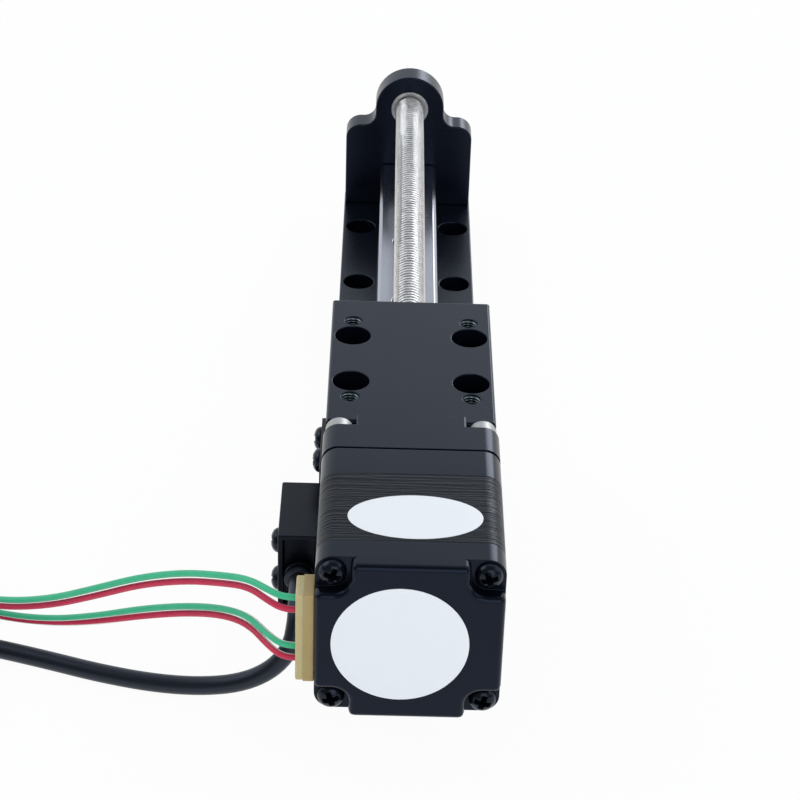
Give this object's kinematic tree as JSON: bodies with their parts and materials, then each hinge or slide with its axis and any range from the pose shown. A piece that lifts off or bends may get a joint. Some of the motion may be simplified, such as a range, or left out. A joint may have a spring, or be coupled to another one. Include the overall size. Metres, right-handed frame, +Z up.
{
  "type": "lead screw linear actuator",
  "caption": "Compact linear slide: a square stepping motor turns a lead screw that drives a table along a guide rail between a motor bracket and an end plate, with a home sensor.",
  "frame": {"origin": "middle of the base plate's underside", "axes": "+Y along the lead screw from the motor to the end plate, +Z up out of the table's top"},
  "size_m": [0.127, 0.1989, 0.0441],
  "materials": {
    "black_anodised": "black anodised, satin",
    "motor_casting": "black painted die casting",
    "lamination_steel": "black painted laminations",
    "rail_steel": "ground steel",
    "screw_steel": "rolled bright steel",
    "bearing_steel": "polished bearing steel",
    "bright_screws": "plain stainless",
    "black_screws": "black oxide",
    "copper_wire": "enamelled copper",
    "bobbin_plastic": "moulded",
    "rotor_steel": "ground laminations",
    "magnet": "ground",
    "brass_nut": "turned",
    "cap_plastic": "moulded",
    "seal_rubber": "moulded",
    "connector_plastic": "moulded nylon, cream",
    "pin_metal": "tinned",
    "sensor_plastic": "moulded, fine texture",
    "flag_sheet": "black coated sheet",
    "cable_rubber": "smooth jacket",
    "green_lead": "smooth insulation",
    "red_lead": "smooth insulation",
    "lead_bundle": "coil of the four leads",
    "white_label": "blank white film"
  },
  "bodies": {
    "base": {"base_plate": "black_anodised", "guide_rail": "rail_steel", "rail_screws": "bright_screws", "motor_bracket": "black_anodised", "bracket_screws": "black_screws", "end_plate": "black_anodised", "end_plate_screws": "black_screws", "end_bearing_outer_race": "bearing_steel", "bearing_shields": "bearing_steel", "motor_front_cover": "motor_casting", "motor_stator": "lamination_steel", "motor_windings": "copper_wire", "winding_bobbins": "bobbin_plastic", "motor_rear_cover": "motor_casting", "motor_case_screws": "black_screws", "motor_mount_screws": "bright_screws", "front_bearing_outer_race": "bearing_steel", "rear_bearing_outer_race": "bearing_steel", "wave_washer": "bearing_steel", "connector_header": "connector_plastic", "header_pins": "pin_metal", "connector_plug": "connector_plastic", "sensor_body": "sensor_plastic", "sensor_screws": "black_screws", "sensor_boot": "cable_rubber", "upper_green_lead": "green_lead", "upper_red_lead": "red_lead", "lower_green_lead": "green_lead", "lower_red_lead": "red_lead", "lead_coil": "lead_bundle", "sensor_cable": "cable_rubber", "cable_coil": "cable_rubber"},
    "screw": {"lead_screw": "screw_steel", "rotor_rear_cup": "rotor_steel", "rotor_magnet": "magnet", "rotor_front_cup": "rotor_steel", "front_bearing_inner_race": "bearing_steel", "rear_bearing_inner_race": "bearing_steel", "end_bearing_inner_race": "bearing_steel"},
    "carriage": {"carriage_table": "black_anodised", "table_screws": "bright_screws", "guide_block": "rail_steel", "block_rear_cap": "cap_plastic", "block_front_cap": "cap_plastic", "block_rear_seal": "seal_rubber", "block_front_seal": "seal_rubber", "lead_nut": "brass_nut", "nut_screws": "black_screws", "sensor_flag": "flag_sheet", "flag_screws": "black_screws"}
  },
  "joints": [
    {"name": "screw_turn", "type": "hinge", "parent": "base", "child": "screw", "pos_m": [0, 0, 0.03], "axis": [0, -1, 0], "range_deg": [0, 36000]},
    {"name": "carriage_slide", "type": "slide", "parent": "base", "child": "carriage", "axis": [0, 1, 0], "range_m": [0, 0.1]}
  ],
  "couplings": [
    {"joint": "screw_turn", "follows": "carriage_slide", "rad_per_m": 6283.2}
  ]
}
